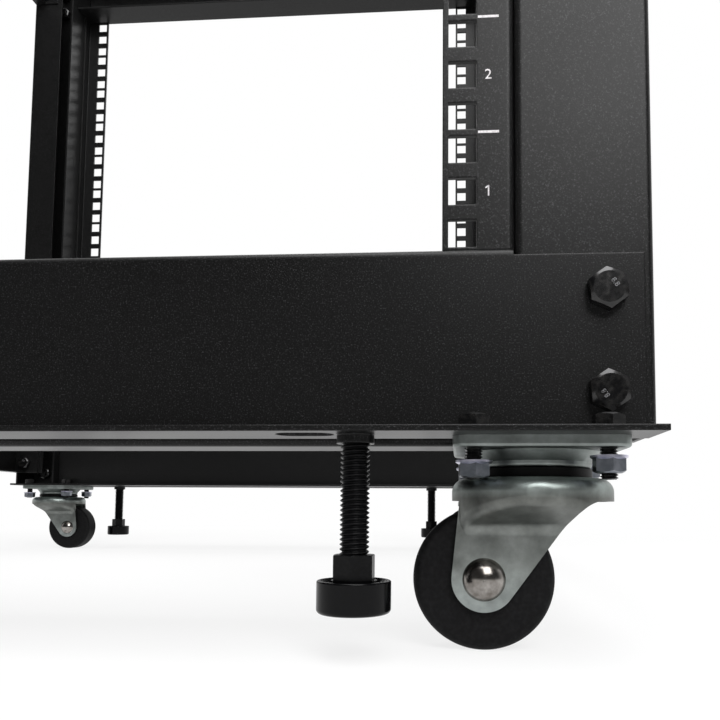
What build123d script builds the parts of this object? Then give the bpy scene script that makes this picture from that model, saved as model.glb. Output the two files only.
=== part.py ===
"""Four-post open frame equipment rack, twelve units high, on four swivel casters.

Millimetres. The origin is on the floor under the middle of the rack, X to the
right seen from the front, the front at -Y, Z up.
"""
import os
from math import acos, atan2, cos, hypot, pi, sin, sqrt

from build123d import *

# Equipment bay: the rail pattern that every shelf or device bolts to.
rack_units = 12
unit_pitch = 44.45
hole_column_spacing = 465.1
hole_edge_distance = 7.3
square_hole = 10.3
first_hole_height = 6.35
hole_step = 15.875
rail_depth = 600.0

# Folded sheet.
sheet = 2.0
cut_past = 1.0
bend_inner_radius = 0.6
rail_face_width = 26.3
rail_return = 12.0
post_width = 49.4
post_depth = 40.0
post_lip = 35.0
post_lip_end_clearance = 13.0

# Base and top beams.
beam_end_setback = 3.95
beam_height = 69.0
beam_top_depth = 32.0
front_flange = 27.0
rear_flange = 22.0
top_beam_height = 50.0
deck_end_gap = 0.6
frame_bolt_hole = 9.0
frame_bolt_inset = 13.5
base_bolt_edge = 16.5
top_bolt_edge = 12.5

# Floor slots in the front flange of each base beam.
floor_slot_from_foot = 17.0
floor_slot_length = 20.0
floor_slot_width = 11.0
floor_slot_edge = 11.5

# Side rails, front to back.
side_rail_height = 50.0
side_rail_lip = 15.0
side_rail_tab = 30.0
side_rail_lift = 13.0
side_bolt_inset = 12.0

# Swivel caster.
caster_height = 75.0
caster_beam_end_inset = 37.7
caster_setback = 13.5
caster_plate_size = 60.0
caster_plate_thickness = 4.0
caster_plate_corner = 6.0
caster_plate_edge_round = 1.2
caster_hole_spacing = 45.5
caster_hole = 6.6
race_top_radius = 24.0
race_radius = 20.8
race_cone_height = 3.8
race_bottom_drop = 10.3
race_bottom_round = 1.5
race_neck_radius = 18.5
swivel_gap = 0.3
crown_top_drop = 13.6
crown_radius = 29.45
crown_trail_shift = 1.0
crown_depth = 8.2
crown_shoulder = 5.0
kingpin_radius = 4.5
kingpin_head_radius = 8.0
kingpin_head_height = 2.2
kingpin_clearance = 0.4
fork_sheet = 2.0
fork_inner_gap = 21.0
fork_flare_drop = 0.7
fork_flare_height = 8.5
fork_flare_bend = 5.0
fork_front_flat = 0.3
fork_crease_round = 4.0
fork_boss_radius = 11.5
fork_front_reach = 16.0
fork_web_radius = 12.0
wheel_radius = 25.4
wheel_width = 18.6
wheel_tread_round = 3.0
hub_radius = 8.5
hub_foot_radius = 10.0
hub_side_gap = 0.4
caster_trail = 19.0
axle_radius = 3.0
axle_bore_gap = 0.3
axle_head_radius = 7.6
axle_head_height = 4.2

# Levelling foot.
foot_from_caster = 62.8
foot_edge = 14.0
foot_screw_radius = 4.8
foot_screw_hole = 10.2
foot_collar_height = 3.0
foot_collar_radius = 6.4
foot_hex_flats = 13.0
foot_hex_height = 8.5
foot_pad_radius = 12.5
foot_pad_height = 10.9
foot_pad_round = 1.6
foot_pad_rim = 1.2
foot_pad_dish = 1.4
foot_floor_gap = 15.4

# Levels and planes that follow from the sizes above.
bend_outer_radius = bend_inner_radius + sheet
flange_bottom = caster_height
flange_top = flange_bottom + sheet
beam_top = flange_bottom + beam_height
rail_height = rack_units * unit_pitch
bay_top = beam_top + rail_height
frame_top = bay_top + top_beam_height
rail_plane = rail_depth / 2
web_plane = rail_plane + sheet
beam_back = web_plane - beam_top_depth
flange_front_edge = web_plane + front_flange
flange_rear_edge = beam_back - rear_flange
rail_inner_x = hole_column_spacing / 2 - hole_edge_distance
post_inner_x = rail_inner_x + rail_face_width
post_outer_x = post_inner_x + post_width
beam_half_length = post_outer_x - beam_end_setback
deck_half_length = post_inner_x - deck_end_gap
post_back = rail_plane - post_depth
frame_bolt_x = beam_half_length - frame_bolt_inset
caster_x = beam_half_length - caster_beam_end_inset
caster_y = rail_plane - caster_setback
foot_x = caster_x - foot_from_caster
foot_y = flange_front_edge - foot_edge
floor_slot_x = foot_x - floor_slot_from_foot
crown_top = caster_height - crown_top_drop
skirt_bottom = crown_top - crown_depth
fork_half_width = fork_inner_gap / 2 + fork_sheet
fork_flare_top = skirt_bottom - fork_flare_drop
fork_flare_foot = fork_flare_top - fork_flare_height
sides = (-1, 1)


def folded(path_points, plane, radii, side):
    """Close a sheet section of the given path, with its bends rounded."""
    path = plane * FilletPolyline(*path_points, radius=radii)
    return make_face(path.offset_2d(sheet, kind=Kind.INTERSECTION, side=side, closed=True).edges())


def box_between(low, high):
    """Make a plain block from its lowest and highest corner."""
    size = [top - bottom for bottom, top in zip(low, high)]
    middle = [(top + bottom) / 2 for bottom, top in zip(low, high)]
    return Pos(*middle) * Box(*size)


def drill_z(x, y, radius, low, high):
    """Make a round cutter that stands at x, y from low to high."""
    return Pos(x, y, (low + high) / 2) * Cylinder(radius, high - low)


def drill_y(x, z, radius, low, high):
    """Make a round cutter that runs front to back from low to high."""
    return Pos(x, (low + high) / 2, z) * Rot(X=90) * Cylinder(radius, high - low)


def web_bolt_holes(heights):
    """Drill both ends of a beam's web at the given heights."""
    low, high = -web_plane - cut_past, -rail_plane + cut_past
    radius = frame_bolt_hole / 2
    return [drill_y(side * frame_bolt_x, z, radius, low, high) for side in sides for z in heights]


def end_relief(low_z, high_z, back_y):
    """Cut everything but the front web past both ends of a beam's deck."""
    reach = beam_half_length + sheet
    cutters = []
    for side in sides:
        inner, outer = sorted((side * deck_half_length, side * reach))
        cutters.append(box_between((inner, -rail_plane, low_z), (outer, back_y, high_z)))
    return cutters


def tab_trim(low_z, high_z):
    """Lower the edge of both end tabs beside the relief notch."""
    reach = beam_half_length + sheet
    front, back = -web_plane - sheet, -rail_plane + sheet
    cutters = []
    for side in sides:
        inner, outer = sorted((side * deck_half_length, side * reach))
        cutters.append(box_between((inner, front, low_z), (outer, back, high_z)))
    return cutters


def make_base_beam():
    """Fold the front base beam: front flange, web, deck, rear web and rear flange."""
    points = [
        (-flange_front_edge, flange_top),
        (-web_plane, flange_top),
        (-web_plane, beam_top),
        (-beam_back, beam_top),
        (-beam_back, flange_top),
        (-flange_rear_edge, flange_top),
    ]
    radii = [bend_inner_radius, bend_outer_radius, bend_outer_radius, bend_inner_radius]
    section = folded(points, Plane.YZ, radii, Side.LEFT)
    beam = extrude(section, amount=beam_half_length, both=True)
    cutters = end_relief(flange_top, beam_top + sheet, -beam_back + bend_outer_radius)
    cutters += tab_trim(beam_top - bend_outer_radius, beam_top + sheet)
    cutters += web_bolt_holes((flange_bottom + base_bolt_edge, beam_top - base_bolt_edge))
    drill_low, drill_high = flange_bottom - cut_past, flange_top + cut_past
    for side in sides:
        slot_y = -flange_front_edge + floor_slot_edge
        slot = extrude(SlotOverall(floor_slot_length, floor_slot_width), amount=2 * sheet)
        cutters.append(Pos(side * floor_slot_x, slot_y, flange_bottom - sheet / 2) * slot)
        for x_step in sides:
            for y_step in sides:
                x = side * caster_x + x_step * caster_hole_spacing / 2
                y = -caster_y + y_step * caster_hole_spacing / 2
                cutters.append(drill_z(x, y, caster_hole / 2, drill_low, drill_high))
    beam = beam - cutters
    collar_bottom = flange_bottom - foot_collar_height
    collar_top = flange_bottom + sheet / 2
    bore_bottom = collar_bottom - cut_past
    for side in sides:
        beam = beam + drill_z(side * foot_x, -foot_y, foot_collar_radius, collar_bottom, collar_top)
        beam = beam - drill_z(side * foot_x, -foot_y, foot_screw_hole / 2, bore_bottom, drill_high)
    return beam


def make_top_beam():
    """Fold the front top beam, a channel whose web laps the posts."""
    points = [
        (-beam_back, bay_top),
        (-web_plane, bay_top),
        (-web_plane, frame_top),
        (-beam_back, frame_top),
    ]
    section = folded(points, Plane.YZ, [bend_outer_radius] * 2, Side.RIGHT)
    beam = extrude(section, amount=beam_half_length, both=True)
    below, above = bay_top - cut_past, frame_top + cut_past
    cutters = end_relief(below, above, -beam_back + cut_past)
    cutters += tab_trim(frame_top - bend_outer_radius, above)
    cutters += tab_trim(below, bay_top + bend_outer_radius)
    cutters += web_bolt_holes((bay_top + top_bolt_edge, frame_top - top_bolt_edge))
    return beam - cutters


def make_post():
    """Fold the front right post, a lipped channel that opens to the inside."""
    points = [
        (post_inner_x, -post_back),
        (post_inner_x, -rail_plane),
        (post_outer_x, -rail_plane),
        (post_outer_x, -post_back),
        (post_outer_x - post_lip, -post_back),
    ]
    section = folded(points, Plane.XY, [bend_outer_radius] * 3, Side.LEFT)
    post = Pos(Z=flange_top) * extrude(section, amount=frame_top - flange_top)
    lip_y = -post_back - sheet - bend_outer_radius
    lip_cut = box_between(
        (post_inner_x + sheet, lip_y, flange_top - cut_past),
        (post_outer_x + cut_past, -post_back + cut_past, flange_top + post_lip_end_clearance),
    )
    cutters = [lip_cut]
    bolt_heights = (
        flange_bottom + base_bolt_edge,
        beam_top - base_bolt_edge,
        bay_top + top_bolt_edge,
        frame_top - top_bolt_edge,
    )
    low, high = -rail_plane - cut_past, -rail_plane + sheet + cut_past
    for z in bolt_heights:
        cutters.append(drill_y(frame_bolt_x, z, frame_bolt_hole / 2, low, high))
    low, high = -post_back - sheet - cut_past, -post_back + cut_past
    for z in side_bolt_heights():
        cutters.append(drill_y(side_bolt_x(), z, frame_bolt_hole / 2, low, high))
    return post - cutters


def side_rail_floor():
    """Give the underside level of the lower and upper side rails."""
    return (flange_top + side_rail_lift, frame_top - side_rail_height)


def side_bolt_heights():
    """Give the levels of the bolts that hold the side rails to a post."""
    heights = []
    for floor in side_rail_floor():
        heights += [floor + side_bolt_inset, floor + side_rail_height - side_bolt_inset]
    return heights


def side_bolt_x():
    """Give the place across the rack of the side rail bolts."""
    return post_outer_x - side_rail_tab / 2


def make_side_rail(floor):
    """Fold the right side rail: web, two long lips and a tab at each end."""
    ceiling = floor + side_rail_height
    points = [
        (post_outer_x - side_rail_lip, floor),
        (post_outer_x, floor),
        (post_outer_x, ceiling),
        (post_outer_x - side_rail_lip, ceiling),
    ]
    section = folded(points, Plane.XZ, [bend_outer_radius] * 2, Side.RIGHT)
    rail = extrude(section, amount=post_back, both=True)
    for side in sides:
        near, far = sorted((side * post_back, side * (post_back - sheet)))
        tab = box_between(
            (post_outer_x - side_rail_tab, near, floor),
            (post_outer_x - bend_outer_radius, far, ceiling),
        )
        rail = rail + tab
    reach = post_back + cut_past
    cutters = []
    for z in (floor + side_bolt_inset, ceiling - side_bolt_inset):
        cutters.append(drill_y(side_bolt_x(), z, frame_bolt_hole / 2, -reach, reach))
    return rail - cutters


def make_mounting_rail():
    """Fold the front right mounting rail and punch its square holes."""
    points = [
        (rail_inner_x, -rail_plane),
        (post_inner_x, -rail_plane),
        (post_inner_x, -rail_plane + rail_return),
    ]
    section = folded(points, Plane.XY, [bend_outer_radius], Side.LEFT)
    rail = Pos(Z=beam_top) * extrude(section, amount=rail_height)
    punches = []
    for unit in range(rack_units):
        for step in range(3):
            z = beam_top + unit * unit_pitch + first_hole_height + step * hole_step
            place = Pos(hole_column_spacing / 2, -rail_plane + sheet / 2, z)
            punches.append(place * Box(square_hole, 2 * sheet, square_hole))
    return rail - punches


def turned(profile_points, rounds=()):
    """Turn an outline of radius and height points about Z, with the named corners rounded."""
    outline = make_face(Polyline(*profile_points, close=True))
    for corner, radius in rounds:
        outline = fillet(outline.vertices().sort_by_distance(corner)[0], radius)
    return revolve(Plane.XZ * outline, Axis.Z)


def make_caster_plate():
    """Press the caster's top plate, its ball race and the riveted kingpin."""
    plate_bottom = caster_height - caster_plate_thickness
    outline = RectangleRounded(caster_plate_size, caster_plate_size, caster_plate_corner)
    plate = Pos(Z=plate_bottom) * extrude(outline, amount=caster_plate_thickness)
    plate = fillet(plate.edges().group_by(Axis.Z)[0], caster_plate_edge_round)
    low, high = plate_bottom - cut_past, caster_height + cut_past
    for x_step in sides:
        for y_step in sides:
            x = x_step * caster_hole_spacing / 2
            y = y_step * caster_hole_spacing / 2
            plate = plate - drill_z(x, y, caster_hole / 2, low, high)
    race_bottom = caster_height - race_bottom_drop
    head_top = crown_top - fork_sheet - swivel_gap
    head_bottom = head_top - kingpin_head_height
    race = turned(
        [
            (0, plate_bottom + cut_past),
            (race_top_radius, plate_bottom + cut_past),
            (race_top_radius, plate_bottom),
            (race_radius, plate_bottom - race_cone_height),
            (race_radius, race_bottom),
            (race_neck_radius, race_bottom),
            (race_neck_radius, crown_top + swivel_gap),
            (kingpin_radius, crown_top + swivel_gap),
            (kingpin_radius, head_top),
            (kingpin_head_radius, head_top),
            (kingpin_head_radius, head_bottom),
            (0, head_bottom),
        ],
        [
            ((race_radius, race_bottom), race_bottom_round),
            ((kingpin_head_radius, head_bottom), kingpin_head_height / 2),
        ],
    )
    return plate + race


def leg_outline():
    """Draw the fork seen from the front: both legs' shape below, the crown's room above."""
    axle = (-caster_trail, wheel_radius)
    room = crown_radius + crown_trail_shift + cut_past
    tail_x = -crown_trail_shift - sqrt(crown_radius**2 - fork_half_width**2)
    web_corner = (fork_front_reach, skirt_bottom)
    rise = skirt_bottom - wheel_radius
    tail_run = tail_x + caster_trail
    front_run = fork_front_reach + caster_trail
    tail_turn = atan2(rise, tail_run) + acos(fork_boss_radius / hypot(rise, tail_run))
    front_turn = atan2(rise, front_run) - acos(fork_boss_radius / hypot(rise, front_run))
    boss_points = []
    for turn in (tail_turn, (tail_turn + front_turn + 2 * pi) / 2, front_turn):
        boss_points.append((axle[0] + fork_boss_radius * cos(turn), axle[1] + fork_boss_radius * sin(turn)))
    boss = ThreePointArc(*boss_points)
    shape = Polyline(
        boss_points[-1],
        web_corner,
        (room, skirt_bottom),
        (room, crown_top),
        (-room, crown_top),
        (-room, skirt_bottom),
        (tail_x, skirt_bottom),
        boss_points[0],
    )
    face = make_face(shape.edges() + boss.edges())
    corner = face.vertices().sort_by_distance(web_corner)[0]
    return Plane.XZ * fillet(corner, fork_web_radius)


def fork_side(inset):
    """Draw the fork's skin seen from the side: flat legs that flare out to the skirt."""
    wide = crown_radius - fork_front_flat
    right = FilletPolyline(
        (fork_half_width, 0),
        (fork_half_width, fork_flare_foot),
        (wide, fork_flare_top),
        (wide, crown_top + fork_sheet),
        radius=fork_flare_bend,
    )
    left = mirror(right, Plane.YZ)
    foot = Line(left @ 0, right @ 0)
    head = Line(left @ 1, right @ 1)
    side = Plane.YZ * make_face(right.edges() + left.edges() + foot.edges() + head.edges())
    return offset(side, amount=-inset, kind=Kind.INTERSECTION) if inset else side


def fork_skin(inset):
    """Make the crown and its flare as one solid, drawn in by the inset, with soft creases."""
    height = crown_top - inset
    column = Pos(-crown_trail_shift, 0, height / 2) * Cylinder(crown_radius - inset, height)
    column = fillet(column.edges().group_by(Axis.Z)[-1], crown_shoulder - inset)
    skin = column & extrude(fork_side(inset), amount=2 * crown_radius, both=True)
    low = fork_flare_foot - fork_flare_bend - inset
    high = fork_flare_top + fork_flare_bend / 2 - inset
    creases = skin.edges().filter_by(GeomType.LINE, reverse=True).filter_by_position(Axis.Z, low, high)
    return fillet(creases, fork_crease_round - inset)


def make_fork():
    """Press the swivel fork: a round dished crown that flares down into two flat legs."""
    room = 2 * crown_radius
    inner = fork_half_width - fork_sheet
    legs = box_between((-room, -fork_half_width, 0), (room, fork_half_width, skirt_bottom))
    gap = box_between((-room, -inner, 0), (room, inner, skirt_bottom))
    shell = (fork_skin(0) + legs) - (fork_skin(fork_sheet) + gap)
    fork = shell & extrude(leg_outline(), amount=room, both=True)
    pin_hole = drill_z(0, 0, kingpin_radius + kingpin_clearance, skirt_bottom, crown_top + cut_past)
    reach = fork_half_width + cut_past
    return fork - pin_hole - drill_y(-caster_trail, wheel_radius, axle_radius, -reach, reach)


def make_wheel():
    """Turn the solid tyre and hub about the axle."""
    half_hub = fork_inner_gap / 2 - hub_side_gap
    half = wheel_width / 2
    bore = axle_radius + axle_bore_gap
    wheel = turned(
        [
            (bore, -half_hub),
            (hub_radius, -half_hub),
            (hub_foot_radius, -half),
            (wheel_radius, -half),
            (wheel_radius, half),
            (hub_foot_radius, half),
            (hub_radius, half_hub),
            (bore, half_hub),
        ],
        [((wheel_radius, -half), wheel_tread_round), ((wheel_radius, half), wheel_tread_round)],
    )
    return Pos(-caster_trail, 0, wheel_radius) * Rot(X=90) * wheel


def make_axle():
    """Turn the axle rivet with its two domed heads."""
    dome_radius = (axle_head_radius**2 + axle_head_height**2) / (2 * axle_head_height)
    ball = Pos(Z=fork_half_width + axle_head_height - dome_radius) * Sphere(dome_radius)
    dome_room = Pos(Z=fork_half_width + axle_head_height / 2) * Cylinder(axle_head_radius, axle_head_height)
    head = ball & dome_room
    axle = head + Cylinder(axle_radius, 2 * fork_half_width) + Rot(X=180) * head
    return Pos(-caster_trail, 0, wheel_radius) * Rot(X=90) * axle


def make_foot_screw():
    """Turn the levelling screw with its hexagon collar."""
    hex_bottom = foot_floor_gap + foot_pad_height
    hexagon = RegularPolygon(foot_hex_flats / 2, 6, major_radius=False, rotation=30)
    collar = Pos(Z=hex_bottom) * extrude(hexagon, amount=foot_hex_height)
    return collar + drill_z(0, 0, foot_screw_radius, hex_bottom, flange_top)


def make_foot_pad():
    """Turn the round dished pad that the levelling screw stands in."""
    low = foot_floor_gap
    high = low + foot_pad_height
    lip = foot_pad_radius - foot_pad_rim
    seat = foot_hex_flats / 2 + foot_pad_rim
    return turned(
        [
            (0, low),
            (foot_pad_radius, low),
            (foot_pad_radius, high),
            (lip, high),
            (lip - foot_pad_rim, high - foot_pad_dish),
            (seat, high - foot_pad_dish),
            (seat, high),
            (0, high),
        ],
        [
            ((foot_pad_radius, low), foot_pad_round),
            ((foot_pad_radius, high), foot_pad_rim / 2),
        ],
    )


def save(shape, name):
    """Write one piece under its own name."""
    export_step(shape, f"parts/{name}.step")


def build():
    """Make every piece at its place and write it."""
    os.makedirs("parts", exist_ok=True)
    half_turn = Rot(Z=180)
    base_beam = make_base_beam()
    top_beam = make_top_beam()
    save(base_beam, "front_base_beam")
    save(half_turn * base_beam, "rear_base_beam")
    save(top_beam, "front_top_beam")
    save(half_turn * top_beam, "rear_top_beam")

    lower, upper = side_rail_floor()
    for level, floor in (("lower", lower), ("upper", upper)):
        side_rail = make_side_rail(floor)
        save(side_rail, f"right_{level}_side_rail")
        save(half_turn * side_rail, f"left_{level}_side_rail")

    uprights = {"post": make_post(), "mounting_rail": make_mounting_rail()}
    for piece, shape in uprights.items():
        save(shape, f"front_right_{piece}")
        save(half_turn * shape, f"rear_left_{piece}")
        save(mirror(shape, Plane.YZ), f"front_left_{piece}")
        save(half_turn * mirror(shape, Plane.YZ), f"rear_right_{piece}")

    caster = {
        "caster_plate": make_caster_plate(),
        "caster_fork": make_fork(),
        "caster_wheel": make_wheel(),
        "caster_axle": make_axle(),
    }
    foot = {"foot_screw": make_foot_screw(), "foot_pad": make_foot_pad()}
    for y_side, end in ((-1, "front"), (1, "rear")):
        for x_side, hand in ((-1, "left"), (1, "right")):
            inward = Rot(Z=0 if x_side > 0 else 180)
            for piece, shape in caster.items():
                place = Pos(x_side * caster_x, y_side * caster_y, 0)
                save(place * inward * shape, f"{end}_{hand}_{piece}")
            for piece, shape in foot.items():
                place = Pos(x_side * foot_x, y_side * foot_y, 0)
                save(place * shape, f"{end}_{hand}_{piece}")


build()
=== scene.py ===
import math

import bpy
from mathutils import Matrix, Vector


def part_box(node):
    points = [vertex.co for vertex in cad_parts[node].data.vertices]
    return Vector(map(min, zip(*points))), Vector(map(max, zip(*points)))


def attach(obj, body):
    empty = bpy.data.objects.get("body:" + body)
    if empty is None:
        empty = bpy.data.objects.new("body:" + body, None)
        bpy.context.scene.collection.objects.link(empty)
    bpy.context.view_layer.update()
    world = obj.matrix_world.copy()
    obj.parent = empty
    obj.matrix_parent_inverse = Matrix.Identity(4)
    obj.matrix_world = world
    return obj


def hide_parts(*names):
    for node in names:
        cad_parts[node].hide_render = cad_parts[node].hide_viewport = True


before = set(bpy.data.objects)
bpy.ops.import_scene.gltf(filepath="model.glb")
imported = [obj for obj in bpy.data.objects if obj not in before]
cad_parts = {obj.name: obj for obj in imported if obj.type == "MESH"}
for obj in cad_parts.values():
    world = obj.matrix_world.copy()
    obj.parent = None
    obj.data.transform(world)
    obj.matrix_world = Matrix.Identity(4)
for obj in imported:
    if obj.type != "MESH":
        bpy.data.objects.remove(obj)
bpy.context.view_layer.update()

mm = 0.001
ends = (("front", -1), ("rear", 1))
hands = (("left", -1), ("right", 1))

# Sheet metal frame. Beams, posts, side rails and mounting rails are folded from 2 mm mild steel
# sheet and bolted or welded together. The whole frame is coated with a fine-textured black
# powder, baked on, which leaves a satin skin with a grain of about half a millimetre.


def linear(hex_colour):
    """Turn an sRGB hex colour into the linear values that a shader takes, by the sRGB standard's curve."""
    parts = [int(hex_colour[i:i + 2], 16) / 255 for i in (1, 3, 5)]
    return [part / 12.92 if part <= 0.04045 else ((part + 0.055) / 1.055) ** 2.4 for part in parts] + [1.0]


def node(tree, kind, settings=None, links=None):
    """Add one node with its settings, socket values and incoming links."""
    made = tree.nodes.new(kind)
    for key, value in (settings or {}).items():
        if key in made.inputs:
            made.inputs[key].default_value = value
        else:
            setattr(made, key, value)
    for key, source in (links or {}).items():
        tree.links.new(source, made.inputs[key])
    return made


def new_material(name):
    """Start a material and give back its node tree, its shader and its object coordinates."""
    material = bpy.data.materials.new(name)
    material.use_nodes = True
    tree = material.node_tree
    shader = tree.nodes["Principled BSDF"]
    place = node(tree, "ShaderNodeTexCoord").outputs["Object"]
    return material, tree, shader, place


def noise(tree, place, size, detail, roughness=0.5):
    """Add cloudy noise with blotches of about the given size, and give back its value."""
    settings = {"Scale": 1 / size, "Detail": detail, "Roughness": roughness}
    return node(tree, "ShaderNodeTexNoise", settings, {"Vector": place}).outputs["Fac"]


def ramp(tree, value, *stops):
    """Give a colour from hex colours that stand at places along a value."""
    made = node(tree, "ShaderNodeValToRGB", links={"Fac": value})
    bands = made.color_ramp.elements
    while len(bands) < len(stops):
        bands.new(0.5)
    for band, (place, hex_colour) in zip(bands, stops):
        band.position = place
        band.color = linear(hex_colour)
    return made.outputs["Color"]


def spread(tree, value, low, high):
    """Spread a value from 0 to 1 over the range from low to high."""
    made = node(tree, "ShaderNodeMapRange", {"To Min": low, "To Max": high}, {"Value": value})
    return made.outputs["Result"]


def relief(tree, height, strength, depth, base=None):
    """Give the normal of fine relief that follows a value, on top of a base normal."""
    links = {"Height": height, "Normal": base} if base else {"Height": height}
    return node(tree, "ShaderNodeBump", {"Strength": strength, "Distance": depth}, links).outputs["Normal"]


def rounded(tree, radius):
    """Give a normal that turns softly over sharp edges."""
    return node(tree, "ShaderNodeBevel", {"Radius": radius, "samples": edge_samples}).outputs["Normal"]


sheet = 2.0 * mm
edge_samples = 6
powder_grain = 0.55 * mm
powder_cloud = 60 * mm
powder_depth = 0.06 * mm
powder_dark = "#0a0a0a"
powder_light = "#131313"
# Pale flecks on the grain's raised tops: painted glints of light on a real grain.
powder_painted_glint = "#3a3a3b"
powder_gloss = 0.2
coated_edge_round = 0.8 * mm


def powder_coat():
    """Textured black polyester powder coat: satin, with fine raised grains whose pale flecks are painted
    glints of light.
    """
    material, tree, shader, place = new_material("textured_black_powder_coat")
    grain = noise(tree, place, powder_grain, detail=2.0, roughness=0.6)
    cloud = noise(tree, place, powder_cloud, detail=1.0)
    # The grain's raised tops get pale flecks, a painted glint of light.
    colour = ramp(tree, grain, (0.4, powder_dark), (0.58, powder_light), (0.72, powder_painted_glint))
    normal = relief(tree, grain, strength=0.5, depth=powder_depth, base=rounded(tree, coated_edge_round))
    tree.links.new(colour, shader.inputs["Base Color"])
    tree.links.new(spread(tree, cloud, low=0.3, high=0.38), shader.inputs["Roughness"])
    tree.links.new(normal, shader.inputs["Normal"])
    shader.inputs["Specular IOR Level"].default_value = powder_gloss
    return material


def dress(name, material):
    """Put one material on every slot of a CAD node."""
    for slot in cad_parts[name].material_slots:
        slot.material = material


coat = powder_coat()
frame_nodes = [f"{end}_{level}_beam" for end, _ in ends for level in ("base", "top")]
frame_nodes += [f"{hand}_{level}_side_rail" for hand, _ in hands for level in ("lower", "upper")]
frame_nodes += [f"{end}_{hand}_{piece}" for end, _ in ends for hand, _ in hands
                for piece in ("post", "mounting_rail")]
for name in frame_nodes:
    dress(name, coat)

# Unit marks. Each mounting rail has a white screen-printed line at every unit boundary and the
# unit's number beside the middle hole, counted from the bottom. The ink is a thin epoxy film,
# printed on the finished coat. Each 1 is a stem and a flag, since the font's own is a bare stem.

rack_units = 12
unit_pitch = 44.45 * mm
mark_line_start = 238.3 * mm
mark_line_length = 7.7 * mm
mark_line_height = 0.95 * mm
mark_number_x = 242.1 * mm
mark_number_height = 4.0 * mm
mark_lift = 0.04 * mm
mark_digit_step = 0.62
one_stem_width = 0.13
one_flag_length = 0.34
one_flag_tilt = math.radians(38)
one_flag_drop = one_stem_width / 3
ink_patch = 0.7 * mm
ink_white = "#d9d5d7"
ink_worn = "#bfbbbd"
text_cap_share = 0.729
text_curve_steps = 3


def marking_ink():
    """White screen ink: flat, slightly uneven in cover over the coat's grain."""
    material, tree, shader, place = new_material("white_screen_ink")
    cover = noise(tree, place, ink_patch, detail=1.0)
    tree.links.new(ramp(tree, cover, (0.35, ink_worn), (0.6, ink_white)), shader.inputs["Base Color"])
    shader.inputs["Roughness"].default_value = 0.6
    return material


def pick(*pieces):
    """Deselect all, then select these pieces and make the first of them active."""
    bpy.ops.object.select_all(action="DESELECT")
    for piece in pieces:
        piece.select_set(True)
    if pieces:
        bpy.context.view_layer.objects.active = pieces[0]


def settle(piece, name, material):
    """Bake a piece's place into its mesh, name it and give it its only material."""
    pick(piece)
    bpy.ops.object.transform_apply(location=True, rotation=True, scale=True)
    piece.name = name
    piece.data.name = name
    piece.data.materials.clear()
    piece.data.materials.append(material)
    return piece


def joined(pieces, name):
    """Join pieces into one mesh."""
    pick(*pieces)
    bpy.ops.object.join()
    pieces[0].name = name
    pieces[0].data.name = name
    return pieces[0]


def flat_text(words, height, material):
    """Make a word as a flat mesh, centred, with capitals of the given height."""
    pick()
    bpy.ops.object.text_add()
    text = bpy.context.object
    text.data.body = words
    text.data.size = height / text_cap_share
    text.data.align_x = "CENTER"
    text.data.offset_y = -height / 2
    text.data.resolution_u = text_curve_steps
    bpy.ops.object.convert(target="MESH")
    text = bpy.context.object
    text.data.materials.append(material)
    return text


def ink_stroke(width, height, spot, rotation, material):
    """Lay one straight stroke of ink, as a flat piece."""
    pick()
    bpy.ops.mesh.primitive_plane_add(size=1, location=spot, rotation=rotation)
    stroke = bpy.context.object
    stroke.scale = (width, height, 1)
    return settle(stroke, "ink_stroke", material)


def unit_number(number, height, material):
    """Print a unit's number flat and centred, digit by digit."""
    digits = str(number)
    stem = one_stem_width * height
    flag = one_flag_length * height
    pieces = []
    for place, digit in enumerate(digits):
        x = (place - (len(digits) - 1) / 2) * mark_digit_step * height
        if digit == "1":
            flag_x = x - flag * math.cos(one_flag_tilt) / 2
            flag_y = height / 2 - flag * math.sin(one_flag_tilt) / 2 - one_flag_drop * height
            pieces.append(ink_stroke(stem, height, (x, 0, 0), (0, 0, 0), material))
            pieces.append(ink_stroke(flag, stem, (flag_x, flag_y, 0), (0, 0, one_flag_tilt), material))
        else:
            glyph = flat_text(digit, height, material)
            glyph.location = (x, 0, 0)
            pieces.append(settle(glyph, "ink_digit", material))
    return joined(pieces, "unit_number")


ink = marking_ink()
beam_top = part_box("front_base_beam")[1].z
for end, end_side in ends:
    for hand, hand_side in hands:
        rail_low, rail_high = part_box(f"{end}_{hand}_mounting_rail")
        face_y = rail_low.y - mark_lift if end_side < 0 else rail_high.y + mark_lift
        facing = (math.pi / 2, 0, 0) if end_side < 0 else (math.pi / 2, 0, math.pi)
        marks = []
        line_x = hand_side * (mark_line_start + mark_line_length / 2)
        for unit in range(1, rack_units):
            spot = (line_x, face_y, beam_top + unit * unit_pitch)
            marks.append(ink_stroke(mark_line_length, mark_line_height, spot, facing, ink))
        for unit in range(rack_units):
            number = unit_number(unit + 1, mark_number_height, ink)
            number.rotation_euler = facing
            number.location = (hand_side * mark_number_x, face_y, beam_top + (unit + 0.5) * unit_pitch)
            marks.append(settle(number, "unit_number", ink))
        print_piece = joined(marks, f"{end}_{hand}_unit_marks")
        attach(print_piece, "root")

# Frame bolts. Hexagon-head M8 steel bolts with a black oxide finish hold the beams' tabs and the
# side rails' tabs to the posts. The heads are cold forged with a round chamfered face and a
# raised strength mark, and a plain hexagon nut closes each bolt inside the post.

bolt_across_flats = 13.0 * mm
bolt_head_height = 5.3 * mm
bolt_face_radius = 5.6 * mm
bolt_washer_radius = 6.0 * mm
bolt_washer_face = 0.4 * mm
bolt_shank_radius = 3.95 * mm
bolt_shank_length = 13.0 * mm
bolt_mark_height = 1.9 * mm
bolt_mark_lift = 0.16 * mm
bolt_mark_offset = 0.45 * bolt_face_radius
nut_height = 6.5 * mm
chamfer_angle = math.radians(30)
cone_past_corners = 1.2
round_facets = 48
shank_facets = 24
forged_crease = 28
merge_gap = 1e-7
oxide_patch = 2.2 * mm
oxide_tooth = 0.3 * mm
oxide_black = "#070708"
oxide_worn = "#232221"
# Pale steel patches on the raised bolt mark: a painted glint of light on the raised figures.
mark_glint_patch = 0.6 * mm
mark_painted_glint = "#77777a"


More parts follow.
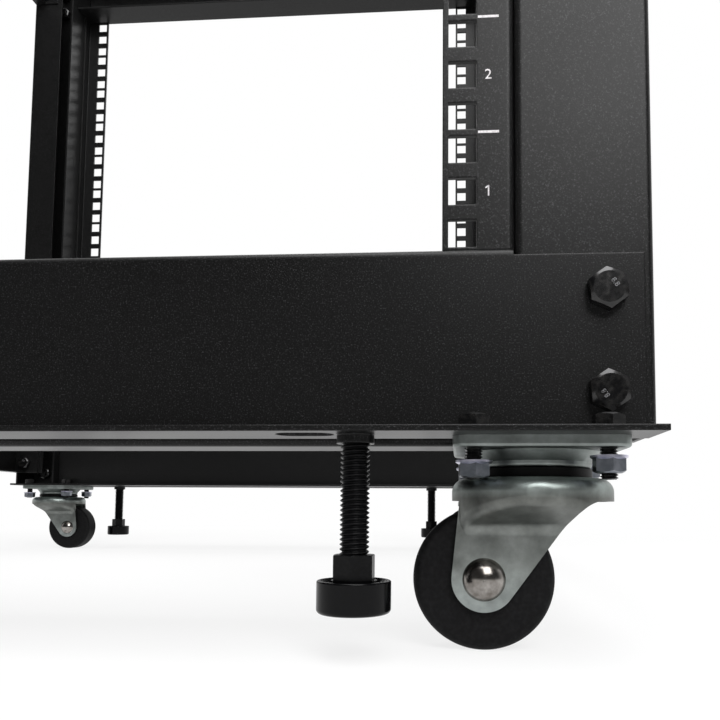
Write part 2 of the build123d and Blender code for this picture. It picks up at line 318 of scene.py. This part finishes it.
def black_oxide():
    """Black oxide on cold-forged steel: thin, dark, a little oily, paler where handled."""
    material, tree, shader, place = new_material("black_oxide_steel")
    wear = noise(tree, place, oxide_patch, detail=3.0)
    tooth = noise(tree, place, oxide_tooth, detail=1.0)
    tree.links.new(ramp(tree, wear, (0.42, oxide_black), (0.78, oxide_worn)), shader.inputs["Base Color"])
    tree.links.new(spread(tree, wear, low=0.15, high=0.24), shader.inputs["Roughness"])
    tree.links.new(relief(tree, tooth, strength=0.2, depth=0.02 * mm), shader.inputs["Normal"])
    return material


def rubbed_mark():
    """The raised strength mark on a bolt head, with pale steel patches painted on it as glints of light."""
    material, tree, shader, place = new_material("bolt_mark_painted_glint")
    wear = noise(tree, place, mark_glint_patch, detail=2.0)
    tree.links.new(ramp(tree, wear, (0.35, oxide_worn), (0.6, mark_painted_glint)), shader.inputs["Base Color"])
    shader.inputs["Roughness"].default_value = 0.4
    return material


def turned(name, outline, facets=round_facets, cap=True):
    """Raise a ring through an outline of radius and height pairs, as on a lathe, about Z."""
    pick()
    radius, height = outline[0]
    fill = "NGON" if cap else "NOTHING"
    bpy.ops.mesh.primitive_circle_add(vertices=facets, radius=radius, fill_type=fill, location=(0, 0, height))
    piece = bpy.context.object
    bpy.ops.object.mode_set(mode="EDIT")
    bpy.ops.mesh.select_all(action="SELECT")
    for next_radius, next_height in outline[1:]:
        rise = {"value": (0, 0, next_height - height)}
        if cap:
            bpy.ops.mesh.extrude_region_move(TRANSFORM_OT_translate=rise)
        else:
            bpy.ops.mesh.extrude_edges_move(TRANSFORM_OT_translate=rise)
        grow = next_radius / radius
        bpy.ops.transform.resize(value=(grow, grow, 1))
        radius, height = next_radius, next_height
    bpy.ops.mesh.select_all(action="SELECT")
    if not cap:
        bpy.ops.mesh.remove_doubles(threshold=merge_gap)
    bpy.ops.mesh.normals_make_consistent(inside=False)
    bpy.ops.object.mode_set(mode="OBJECT")
    bpy.ops.object.transform_apply(location=True)
    piece.name = name
    return piece


def cylinder(name, radius, depth, facets=round_facets):
    """Make a plain cylinder that reaches down from Z 0."""
    return turned(name, [(radius, -depth), (radius, 0.0)], facets)


def apply_modifier(piece, kind, settings):
    """Add a modifier to a piece and apply it."""
    pick(piece)
    made = piece.modifiers.new(kind.lower(), kind)
    for key, value in settings.items():
        setattr(made, key, value)
    bpy.ops.object.modifier_apply(modifier=made.name)


def hexagon(name, flats, height, face_radius, chamfers):
    """Make a hexagon prism from Z 0 up, with its corners turned back on the chosen ends, one at a time."""
    pick()
    corner = flats / math.sqrt(3)
    bpy.ops.mesh.primitive_cylinder_add(vertices=6, radius=corner, depth=height, location=(0, 0, height / 2))
    prism = bpy.context.object
    bpy.ops.object.transform_apply(location=True)
    wide = cone_past_corners * corner
    drop = (wide - face_radius) * math.tan(chamfer_angle)
    outlines = {"low": [(face_radius, 0), (wide, drop), (wide, height)],
                "high": [(wide, 0), (wide, height - drop), (face_radius, height)]}
    for chamfer in chamfers:
        cone = turned("chamfer_cone", outlines[chamfer])
        apply_modifier(prism, "BOOLEAN", {"operation": "INTERSECT", "object": cone, "solver": "EXACT"})
        bpy.data.objects.remove(cone)
    prism.name = name
    return prism


def smooth(piece, degrees=forged_crease):
    """Shade smooth, keeping every edge sharper than the angle."""
    pick(piece)
    bpy.ops.object.shade_smooth_by_angle(angle=math.radians(degrees))


def copied(source, place):
    """Copy a piece with its own mesh and move the copy's mesh to its place."""
    copy = source.copy()
    copy.data = source.data.copy()
    copy.data.transform(place)
    bpy.context.scene.collection.objects.link(copy)
    return copy


oxide = black_oxide()
mark_glint = rubbed_mark()
head = hexagon("bolt_head", bolt_across_flats, bolt_head_height, bolt_face_radius, ("high",))
washer_face = cylinder("bolt_washer_face", bolt_washer_radius, bolt_washer_face)
shank = cylinder("bolt_shank", bolt_shank_radius, bolt_shank_length, shank_facets)
for part in (head, washer_face, shank):
    settle(part, part.name, oxide)
mark = flat_text("8.8", bolt_mark_height, mark_glint)
apply_modifier(mark, "SOLIDIFY", {"thickness": bolt_mark_lift, "offset": 1.0})
mark.location = (0, bolt_mark_offset, bolt_head_height)
settle(mark, "bolt_mark", mark_glint)
frame_bolt = joined([head, washer_face, shank, mark], "frame_bolt")
smooth(frame_bolt)
frame_nut = hexagon("frame_nut", bolt_across_flats, nut_height, bolt_face_radius, ("low", "high"))
settle(frame_nut, "frame_nut", oxide)
smooth(frame_nut)

first_turn = math.radians(149.4)
turn_step = math.radians(77.3)


def wrench_turn(number):
    """Give the angle at which the wrench left a frame bolt, by the bolt's number."""
    return first_turn + turn_step * number ** 2


def bolt_group(name, spots):
    """Place bolts and nuts at spots of place, outward direction and turn, through two sheets."""
    pieces = []
    for spot, outward, turn in spots:
        aim = Vector(outward).to_track_quat("Z", "Y").to_matrix().to_4x4()
        place = Matrix.Translation(spot) @ aim @ Matrix.Rotation(turn, 4, "Z")
        pieces.append(copied(frame_bolt, place @ Matrix.Translation((0, 0, bolt_washer_face))))
        pieces.append(copied(frame_nut, place @ Matrix.Translation((0, 0, -2 * sheet - nut_height))))
    group = joined(pieces, name)
    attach(group, "root")


frame_bolt_x = 283.5 * mm
base_bolt_heights = (91.5 * mm, 127.5 * mm)
top_bolt_inset = 12.5 * mm
top_box_low, top_box_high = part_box("front_top_beam")
top_bolt_heights = (top_box_low.z + top_bolt_inset, top_box_high.z - top_bolt_inset)
web_face = -top_box_low.y
bolt_count = 0
for end, end_side in ends:
    for level, heights in (("base", base_bolt_heights), ("top", top_bolt_heights)):
        spots = []
        for _, hand_side in hands:
            for height in heights:
                bolt_count += 1
                spot = (hand_side * frame_bolt_x, end_side * web_face, height)
                spots.append((spot, (0, end_side, 0), wrench_turn(bolt_count)))
        bolt_group(f"{end}_{level}_beam_bolts", spots)

side_bolt_inset = 15.0 * mm
side_bolt_edge = 12.0 * mm
side_bolt_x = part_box("right_lower_side_rail")[1].x - side_bolt_inset
side_tab_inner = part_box("left_lower_side_rail")[1].y - sheet
for hand, hand_side in hands:
    for level in ("lower", "upper"):
        low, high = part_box(f"{hand}_{level}_side_rail")
        spots = []
        for _, end_side in ends:
            for height in (low.z + side_bolt_edge, high.z - side_bolt_edge):
                bolt_count += 1
                spot = (hand_side * side_bolt_x, end_side * side_tab_inner, height)
                spots.append((spot, (0, -end_side, 0), wrench_turn(bolt_count)))
        bolt_group(f"{hand}_{level}_side_rail_bolts", spots)
bpy.data.objects.remove(frame_bolt)
bpy.data.objects.remove(frame_nut)

# Caster bolts. Four black M6 hexagon bolts with washers drop through the flanges and each caster's
# plate, and zinc-plated flange nuts run up their threads from below. The nuts stop short of the
# plate, some lower than others, so black thread shows above them and a little below.

caster_bolt_flats = 10.0 * mm
caster_bolt_height = 4.4 * mm
caster_bolt_face = 4.3 * mm
caster_washer_radius = 5.8 * mm
caster_washer_height = 1.4 * mm
caster_thread_pitch = 1.0 * mm
caster_thread_crest = 3.0 * mm
caster_thread_root = 2.4 * mm
caster_thread_length = 18.0 * mm
caster_thread_facets = 32
caster_bolt_turn = math.radians(3)
caster_turn_step = math.radians(3)
caster_turn_choices = 3
flange_nut_flats = 10.0 * mm
flange_nut_height = 6.0 * mm
flange_nut_drops = (4.2 * mm, 2.5 * mm)
flange_nut_radius = 6.3 * mm
flange_nut_rim = 1.8 * mm
flange_nut_rim_edge = 0.6 * flange_nut_rim
thread_rises = (0.0, 0.12, 0.46, 0.66)
passivate_cloud = 3.0 * mm
nut_blue = "#6f747b"
nut_grey = "#888b92"
# The flange rim has the passivation's lilac, and its much paler tone than the nut body is a painted
# reflection of the pale floor.
rim_lilac_and_painted_light = "#b9b8cc"
rim_painted_reflection = "#d6d5e2"


def passivated_zinc(name, dull, bright):
    """Blue-passivated zinc on steel, with soft cloudy streaks of two tones."""
    material, tree, shader, place = new_material(name)
    cloud = noise(tree, place, passivate_cloud, detail=2.0)
    tree.links.new(ramp(tree, cloud, (0.35, dull), (0.65, bright)), shader.inputs["Base Color"])
    shader.inputs["Metallic"].default_value = 1.0
    shader.inputs["Roughness"].default_value = 0.3
    return material


def threaded(name, crest, root, pitch, turns, facets):
    """Wind one ridge of a thread into a helix about Z, from Z 0 up, and trim both ends flat."""
    # The ridge's outline runs up the root, out to the crest, along it and back to the next root.
    pick()
    bpy.ops.mesh.primitive_circle_add(vertices=4, radius=1, location=(0, 0, 0))
    ridge = bpy.context.object
    for corner, radius, rise in zip(ridge.data.vertices, (root, root, crest, crest), thread_rises):
        corner.co = (radius, 0, (rise - 1) * pitch)
    bpy.ops.object.mode_set(mode="EDIT")
    bpy.ops.mesh.select_all(action="DESELECT")
    bpy.ops.object.mode_set(mode="OBJECT")
    for edge in ridge.data.edges:
        edge.select = set(edge.vertices) == {0, 3}
    bpy.ops.object.mode_set(mode="EDIT")
    bpy.ops.mesh.select_mode(type="EDGE")
    bpy.ops.mesh.delete(type="EDGE")
    bpy.ops.object.mode_set(mode="OBJECT")
    last = max(ridge.data.vertices, key=lambda point: point.co.z).index
    ridge.data.vertices.add(1)
    ridge.data.vertices[-1].co = (root, 0, 0)
    ridge.data.edges.add(1)
    ridge.data.edges[-1].vertices = (last, len(ridge.data.vertices) - 1)
    # It is wound one turn past each end, welded from turn to turn, and cut off at both ends.
    winding = {"axis": "Z", "angle": 2 * math.pi, "screw_offset": pitch, "iterations": turns + 2,
               "steps": facets, "render_steps": facets, "use_merge_vertices": True,
               "merge_threshold": merge_gap}
    apply_modifier(ridge, "SCREW", winding)
    bpy.ops.object.mode_set(mode="EDIT")
    bpy.ops.mesh.select_all(action="SELECT")
    bpy.ops.mesh.remove_doubles(threshold=merge_gap)
    for height, clear_inner in ((0.0, True), (turns * pitch, False)):
        bpy.ops.mesh.select_all(action="SELECT")
        bpy.ops.mesh.bisect(plane_co=(0, 0, height), plane_no=(0, 0, 1), use_fill=True,
                            clear_inner=clear_inner, clear_outer=not clear_inner)
    bpy.ops.mesh.select_all(action="SELECT")
    bpy.ops.mesh.normals_make_consistent(inside=False)
    bpy.ops.object.mode_set(mode="OBJECT")
    ridge.name = name
    return ridge


zinc_blue = passivated_zinc("blue_passivated_zinc", nut_blue, nut_grey)
# Rim colour: real lilac passivation plus a painted reflection that makes it paler than the body.
lilac_zinc_and_painted_reflection = passivated_zinc("lilac_zinc_with_painted_reflection", rim_lilac_and_painted_light, rim_painted_reflection)
bolt_head = hexagon("caster_bolt_head", caster_bolt_flats, caster_bolt_height, caster_bolt_face, ("high",))
bolt_thread = threaded("caster_bolt_thread", caster_thread_crest, caster_thread_root, caster_thread_pitch,
                       int(caster_thread_length / caster_thread_pitch), caster_thread_facets)
bolt_thread.location = (0, 0, -caster_thread_length)
bolt_washer = cylinder("caster_washer", caster_washer_radius, caster_washer_height)
for part in (bolt_head, bolt_thread, bolt_washer):
    settle(part, part.name, oxide)
caster_bolt = joined([bolt_head, bolt_thread, bolt_washer], "caster_bolt")
smooth(caster_bolt)
nut_body = hexagon("flange_nut_body", flange_nut_flats, flange_nut_height, caster_bolt_face, ("low",))
settle(nut_body, "flange_nut_body", zinc_blue)
rim_outline = [(caster_bolt_face, 0.0), (flange_nut_radius, flange_nut_rim_edge),
               (flange_nut_radius, flange_nut_rim), (caster_thread_crest, flange_nut_rim)]
nut_rim = turned("flange_nut_rim", rim_outline)
nut_rim.location = (0, 0, flange_nut_height - flange_nut_rim)
settle(nut_rim, "flange_nut_rim", lilac_zinc_and_painted_reflection)
flange_nut = joined([nut_body, nut_rim], "flange_nut")
smooth(flange_nut)

caster_hole_spacing = 45.5 * mm
caster_plate_thickness = 4.0 * mm
flange_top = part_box("front_left_caster_plate")[1].z + sheet
head_seat = flange_top + caster_washer_height
for end, _ in ends:
    for hand, _ in hands:
        low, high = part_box(f"{end}_{hand}_caster_plate")
        middle = (low + high) / 2
        plate_under = high.z - caster_plate_thickness
        bolts = []
        nuts = []
        for x_step, nut_drop in zip((-0.5, 0.5), flange_nut_drops):
            for y_step in (-0.5, 0.5):
                bolt_count += 1
                x = middle.x + x_step * caster_hole_spacing
                y = middle.y + y_step * caster_hole_spacing
                nut_floor = plate_under - nut_drop - flange_nut_height
                angle = caster_bolt_turn + bolt_count % caster_turn_choices * caster_turn_step
                turn = Matrix.Rotation(angle, 4, "Z")
                bolts.append(copied(caster_bolt, Matrix.Translation((x, y, head_seat)) @ turn))
                nuts.append(copied(flange_nut, Matrix.Translation((x, y, nut_floor)) @ turn))
        for pieces, kind, slot_name in ((bolts, "bolts", "black_screw"), (nuts, "nuts", "zinc_plate")):
            group = joined(pieces, f"{end}_{hand}_caster_{kind}")
            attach(group, "root")
bpy.data.objects.remove(caster_bolt)
bpy.data.objects.remove(flange_nut)

# Casters. The top plate, its ball race and the fork are pressed from sheet steel and plated with
# bright zinc, which has a cool, faintly green cast. A black ring fills the gap under the race as painted
# shade there. The wheel is one piece of hard black rubber on a steel rivet with a polished domed head.

zinc_cloud = 11 * mm
zinc_pit = 0.8 * mm
zinc_dark = "#8e9492"
zinc_mid = "#a6adab"
zinc_pale = "#c0c8c6"
# Painted shade by height: the zinc darkens from 14 mm up to 64 mm, with a pale band near 59 mm painted as a
# highlight on the crown's shoulder.
painted_shade_low = 14 * mm
painted_shade_high = 64 * mm
painted_shade_tints = ((0.0, "#ffffff"), (0.32, "#c8c6c4"), (0.6, "#b8b5b3"), (0.8, "#a39f9c"), (0.9, "#f0f4f2"),
               (1.0, "#cccccb"))
rubber_tooth = 1.6 * mm
rubber_black = "#09090a"
rubber_grey = "#151516"
rivet_stain = 4 * mm
rivet_dark = "#75706b"
rivet_steel = "#9f9b97"
# A black ring filling the gap between the race and the fork's crown: painted shade for that gap.
gap_ring_patch = 5 * mm
gap_ring_painted_shade = "#040404"
gap_ring_shade_pale = "#0b0b0b"
gap_ring_inner_radius = 18.5 * mm
gap_ring_outer_radius = 20.9 * mm
gap_ring_clearance = 0.3 * mm
gap_ring_facets = 72
gap_ring_crease = 40
race_bottom_drop = 10.3 * mm


def zinc_plate():
    """Bright zinc plate: satin and faintly cloudy, with painted shade that darkens it higher up, and a
    painted highlight band at the crown's shoulder.
    """
    material, tree, shader, place = new_material("zinc_plated_pressed_steel")
    cloud = noise(tree, place, zinc_cloud, detail=4.0, roughness=0.6)
    pits = noise(tree, place, zinc_pit, detail=2.0)
    height = node(tree, "ShaderNodeSeparateXYZ", None, {"Vector": place}).outputs["Z"]
    level = node(tree, "ShaderNodeMapRange", {"From Min": painted_shade_low, "From Max": painted_shade_high},
                 {"Value": height})
    plate = ramp(tree, cloud, (0.32, zinc_dark), (0.5, zinc_mid), (0.68, zinc_pale))
    # Tint by height: painted shade, with a painted highlight band at the crown's shoulder.
    painted_light_tint = ramp(tree, level.outputs["Result"], *painted_shade_tints)
    colour = node(tree, "ShaderNodeVectorMath", {"operation": "MULTIPLY"}, {0: plate, 1: painted_light_tint})
    tree.links.new(colour.outputs["Vector"], shader.inputs["Base Color"])
    tree.links.new(spread(tree, cloud, low=0.38, high=0.46), shader.inputs["Roughness"])
    tree.links.new(relief(tree, pits, strength=0.15, depth=0.03 * mm), shader.inputs["Normal"])
    shader.inputs["Metallic"].default_value = 1.0
    return material


def hard_rubber():
    """Hard moulded rubber: matte black with a fine, faintly dusty tooth."""
    material, tree, shader, place = new_material("moulded_hard_rubber")
    dust = noise(tree, place, rubber_tooth, detail=4.0)
    tree.links.new(ramp(tree, dust, (0.4, rubber_black), (0.7, rubber_grey)), shader.inputs["Base Color"])
    tree.links.new(relief(tree, dust, strength=0.25, depth=0.04 * mm), shader.inputs["Normal"])
    shader.inputs["Specular IOR Level"].default_value = 0.15
    shader.inputs["Roughness"].default_value = 0.62
    return material


def rivet_polish():
    """Polished steel rivet head: near mirror, with a warm tarnish."""
    material, tree, shader, place = new_material("polished_rivet_steel")
    stain = noise(tree, place, rivet_stain, detail=3.0)
    tree.links.new(ramp(tree, stain, (0.35, rivet_dark), (0.65, rivet_steel)), shader.inputs["Base Color"])
    shader.inputs["Metallic"].default_value = 1.0
    shader.inputs["Roughness"].default_value = 0.2
    return material


def dust_seal():
    """Black ring put in the gap under the race as painted shade: soft black, faintly cloudy."""
    material, tree, shader, place = new_material("painted_shade_ring_black")
    film = noise(tree, place, gap_ring_patch, detail=1.0)
    tree.links.new(ramp(tree, film, (0.4, gap_ring_painted_shade), (0.7, gap_ring_shade_pale)), shader.inputs["Base Color"])
    shader.inputs["Specular IOR Level"].default_value = 0.12
    shader.inputs["Roughness"].default_value = 0.5
    return material


zinc = zinc_plate()
rubber = hard_rubber()
rivet = rivet_polish()
shade_ring_black = dust_seal()
for end, _ in ends:
    for hand, _ in hands:
        dress(f"{end}_{hand}_caster_plate", zinc)
        dress(f"{end}_{hand}_caster_fork", zinc)
        dress(f"{end}_{hand}_caster_wheel", rubber)
        dress(f"{end}_{hand}_caster_axle", rivet)
        # Each caster gets a black ring in the gap under its race, as painted shade there.
        plate_low, plate_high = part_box(f"{end}_{hand}_caster_plate")
        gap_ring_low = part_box(f"{end}_{hand}_caster_fork")[1].z + gap_ring_clearance
        gap_ring_high = plate_high.z - race_bottom_drop
        outline = [(gap_ring_inner_radius, gap_ring_low), (gap_ring_outer_radius, gap_ring_low),
                   (gap_ring_outer_radius, gap_ring_high), (gap_ring_inner_radius, gap_ring_high),
                   (gap_ring_inner_radius, gap_ring_low)]
        gap_ring = turned("dust_seal", outline, gap_ring_facets, cap=False)
        gap_ring.location = ((plate_low.x + plate_high.x) / 2, (plate_low.y + plate_high.y) / 2, 0)
        settle(gap_ring, f"{end}_{hand}_dust_seal", shade_ring_black)
        smooth(gap_ring, gap_ring_crease)
        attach(gap_ring, "root")

# Levelling feet. Each is an M10 steel stud with a rolled thread and a black phosphate finish, screwed
# through the flange, with a hexagon collar for a spanner. It stands in a round black nylon pad.

foot_pitch = 1.6 * mm
foot_crest = 4.95 * mm
foot_root = 4.2 * mm
foot_hex_height = 8.5 * mm
foot_hex_flats = 13.0 * mm
foot_hex_face = 6.9 * mm
foot_thread_facets = 40
stud_edge_round = 0.35 * mm
stud_mottle = 1.2 * mm
stud_black = "#070708"
stud_grey = "#101011"
pad_grain = 0.5 * mm
pad_black = "#050506"
pad_sheen = "#0c0c0d"


def stud_phosphate():
    """Black phosphate on a rolled stud: dry, dark and faintly mottled."""
    material, tree, shader, place = new_material("black_phosphate_steel")
    mottle = noise(tree, place, stud_mottle, detail=3.0)
    tree.links.new(ramp(tree, mottle, (0.4, stud_black), (0.7, stud_grey)), shader.inputs["Base Color"])
    tree.links.new(rounded(tree, stud_edge_round), shader.inputs["Normal"])
    shader.inputs["Specular IOR Level"].default_value = 0.14
    shader.inputs["Roughness"].default_value = 0.32
    return material


def pad_plastic():
    """Moulded black nylon: satin, with a very fine spark-eroded grain."""
    material, tree, shader, place = new_material("moulded_black_nylon")
    grain = noise(tree, place, pad_grain, detail=2.0)
    tree.links.new(ramp(tree, grain, (0.4, pad_black), (0.7, pad_sheen)), shader.inputs["Base Color"])
    tree.links.new(relief(tree, grain, strength=0.2, depth=0.03 * mm), shader.inputs["Normal"])
    shader.inputs["Specular IOR Level"].default_value = 0.14
    shader.inputs["Roughness"].default_value = 0.2
    return material


phosphate = stud_phosphate()
nylon = pad_plastic()
for end, _ in ends:
    for hand, _ in hands:
        dress(f"{end}_{hand}_foot_pad", nylon)
        low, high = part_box(f"{end}_{hand}_foot_screw")
        middle = (low + high) / 2
        thread_length = high.z - low.z - foot_hex_height
        turns = int(thread_length / foot_pitch)
        stud = threaded("stud", foot_crest, foot_root, thread_length / turns, turns, foot_thread_facets)
        stud.location = (middle.x, middle.y, low.z + foot_hex_height)
        settle(stud, "stud", phosphate)
        collar = hexagon("collar", foot_hex_flats, foot_hex_height, foot_hex_face, ("high",))
        collar.location = (middle.x, middle.y, low.z)
        settle(collar, "collar", phosphate)
        screw = joined([stud, collar], f"{end}_{hand}_threaded_stud")
        smooth(screw)
        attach(screw, f"{end}_{hand}_foot")
        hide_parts(f"{end}_{hand}_foot_screw")

# Studio. White background paper on the floor and a white surround. Metal sees white behind the rack
# and overhead and a dark room behind the camera. Three soft square lamps stand in front on the right,
# overhead and high at the back.

floor_size = 12.0
floor_white = "#f6f6f6"
floor_fade_start = 0.5
floor_fade_end = 1.3
floor_near_white = 0.8
world_fill = 0.35
room_behind_camera = 0.05
overhead_white = 0.9
backdrop_start = -0.35
backdrop_full = 0.15
overhead_start = 0.7
overhead_full = 0.95


def highest(tree, first, *others):
    """Give the greatest of several values."""
    for other in others:
        first = node(tree, "ShaderNodeMath", {"operation": "MAXIMUM"}, {0: first, 1: other}).outputs[0]
    return first


def seen_rays(tree):
    """Give 1 for the rays that see the surround directly, in metal or through glass, else 0."""
    rays = node(tree, "ShaderNodeLightPath").outputs
    return highest(tree, rays["Is Camera Ray"], rays["Is Glossy Ray"], rays["Is Transmission Ray"])


def floor_paper():
    """Matte white background paper, which fades into the white surround away from the rack."""
    material, tree, shader, place = new_material("white_background_paper")
    shader.inputs["Base Color"].default_value = linear(floor_white)
    shader.inputs["Roughness"].default_value = 0.9
    shader.inputs["Specular IOR Level"].default_value = 0.0
    reach = node(tree, "ShaderNodeVectorMath", {"operation": "LENGTH"}, {"Vector": place}).outputs["Value"]
    fade = node(tree, "ShaderNodeMapRange", {"From Min": floor_fade_start, "From Max": floor_fade_end,
                                             "To Min": floor_near_white, "interpolation_type": "SMOOTHSTEP"},
                {"Value": reach})
    share = node(tree, "ShaderNodeMath", {"operation": "MULTIPLY"},
                 {0: fade.outputs["Result"], 1: seen_rays(tree)})
    white = node(tree, "ShaderNodeEmission", {"Color": (1, 1, 1, 1), "Strength": 1.0})
    both = node(tree, "ShaderNodeMixShader", None,
                {"Fac": share.outputs[0], 1: shader.outputs[0], 2: white.outputs[0]})
    tree.links.new(both.outputs[0], tree.nodes["Material Output"].inputs["Surface"])
    return material


pick()
bpy.ops.mesh.primitive_plane_add(size=floor_size, location=(0, 0, 0))
floor = settle(bpy.context.object, "studio_floor", floor_paper())

world = bpy.data.worlds.new("studio_surround")
bpy.context.scene.world = world
world.use_nodes = True
surround = world.node_tree
for old in list(surround.nodes):
    surround.nodes.remove(old)
heading = node(surround, "ShaderNodeTexCoord").outputs["Generated"]
direction = node(surround, "ShaderNodeSeparateXYZ", None, {"Vector": heading}).outputs
backdrop = node(surround, "ShaderNodeMapRange", {"From Min": backdrop_start, "From Max": backdrop_full,
                                                 "To Min": room_behind_camera}, {"Value": direction["Y"]})
overhead = node(surround, "ShaderNodeMapRange", {"From Min": overhead_start, "From Max": overhead_full,
                                                 "To Min": room_behind_camera, "To Max": overhead_white},
                {"Value": direction["Z"]})
eye = node(surround, "ShaderNodeLightPath").outputs["Is Camera Ray"]
strength = highest(surround, backdrop.outputs["Result"], overhead.outputs["Result"], eye)
seen = node(surround, "ShaderNodeBackground", {"Color": (1, 1, 1, 1)}, {"Strength": strength})
fill = node(surround, "ShaderNodeBackground", {"Color": (1, 1, 1, 1), "Strength": world_fill})
mixed = node(surround, "ShaderNodeMixShader", None,
             {"Fac": seen_rays(surround), 1: fill.outputs[0], 2: seen.outputs[0]})
node(surround, "ShaderNodeOutputWorld", None, {"Surface": mixed.outputs[0]})

soft_lamps = (
    ("right_key", (0.7, -1.6, 1.3), 1.0, 22.0),
    ("overhead", (0.25, -0.8, 1.9), 1.2, 24.0),
    ("back_top", (0.3, 1.8, 2.4), 2.0, 30.0),
)
aim_point = Vector((0, 0, 0.25))
for name, place, size, power in soft_lamps:
    lamp = bpy.data.lights.new(name, "AREA")
    lamp.shape = "SQUARE"
    lamp.size = size
    lamp.energy = power
    holder = bpy.data.objects.new(name, lamp)
    holder.location = place
    holder.rotation_euler = (aim_point - Vector(place)).to_track_quat("-Z", "Y").to_euler()
    bpy.context.scene.collection.objects.link(holder)

# Camera. Close in front of the rack's lower right corner, low over the floor.

camera_place = Vector((232.1, -553.2, 50.3)) * mm
camera_yaw = math.radians(-4.17)
camera_pitch = math.radians(4.14)
camera_roll = math.radians(0.35)
camera_nearest = 10 * mm
focal_pixels = 711.3
picture_pixels = 720
sensor_width = 36.0
optical_centre = (409.1, 456.9)
forward = Vector((math.sin(camera_yaw) * math.cos(camera_pitch),
                  math.cos(camera_yaw) * math.cos(camera_pitch), math.sin(camera_pitch)))
level_right = Vector((math.cos(camera_yaw), -math.sin(camera_yaw), 0))
level_up = level_right.cross(forward)
right = level_right * math.cos(camera_roll) + level_up * math.sin(camera_roll)
up = level_up * math.cos(camera_roll) - level_right * math.sin(camera_roll)
camera_data = bpy.data.cameras.new("photo_camera")
camera = bpy.data.objects.new("photo_camera", camera_data)
camera_turn = Matrix((right, up, -forward)).transposed().to_4x4()
camera.matrix_world = Matrix.Translation(camera_place) @ camera_turn
camera_data.sensor_width = sensor_width
camera_data.lens = focal_pixels / picture_pixels * sensor_width
camera_data.shift_x = (picture_pixels / 2 - optical_centre[0]) / picture_pixels
camera_data.shift_y = (optical_centre[1] - picture_pixels / 2) / picture_pixels
camera_data.clip_start = camera_nearest
bpy.context.scene.collection.objects.link(camera)
bpy.context.scene.camera = camera
bpy.context.scene.view_settings.view_transform = "Standard"
